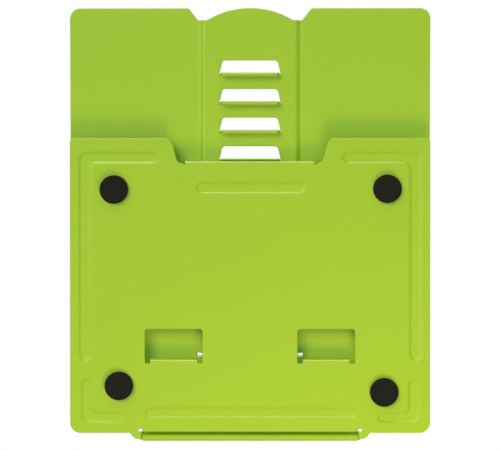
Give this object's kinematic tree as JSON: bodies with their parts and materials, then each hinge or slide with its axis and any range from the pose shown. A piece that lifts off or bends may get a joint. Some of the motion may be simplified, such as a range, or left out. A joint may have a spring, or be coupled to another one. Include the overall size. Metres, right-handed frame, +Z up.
{
  "type": "book stand",
  "caption": "Folding sheet-steel book stand, lying closed: ribbed base on rubber feet, hinged back plate with louvre slots, a prop strut that catches in them, and a front page stop flap.",
  "frame": {"origin": "centre of the folded stand's outline, on the plane that the feet stand on", "axes": "+Z up from the feet, -Y towards the reader and the page stop, +X to the reader's right"},
  "size_m": [0.2284, 0.2738, 0.0166],
  "materials": {
    "green_paint": "satin lime green coating on steel sheet",
    "plated_steel": "bright zinc plate",
    "black_rubber": "matt moulded rubber",
    "adhesive": "thin adhesive disc"
  },
  "bodies": {
    "base": {"base_plate": "green_paint", "back_hinge_rod": "plated_steel", "strut_hinge_rod": "plated_steel", "stop_hinge_rod": "plated_steel", "rear_left_foot": "black_rubber", "rear_right_foot": "black_rubber", "front_left_foot": "black_rubber", "front_right_foot": "black_rubber", "rear_left_pad": "adhesive", "rear_right_pad": "adhesive", "front_left_pad": "adhesive", "front_right_pad": "adhesive"},
    "back": {"back_plate": "green_paint"},
    "strut": {"prop_strut": "green_paint"},
    "stop": {"page_stop": "green_paint"}
  },
  "joints": [
    {"name": "back_fold", "type": "hinge", "parent": "base", "child": "back", "pos_m": [0, -0.08242, 0.0116], "axis": [1, 0, 0], "range_deg": [0, 90]},
    {"name": "strut_swing", "type": "hinge", "parent": "base", "child": "strut", "pos_m": [0, 0.02908, 0.01], "axis": [-1, 0, 0], "range_deg": [0, 115]},
    {"name": "stop_flip", "type": "hinge", "parent": "base", "child": "stop", "pos_m": [0, -0.13453, 0.00735], "axis": [1, 0, 0], "range_deg": [0, 105]}
  ]
}
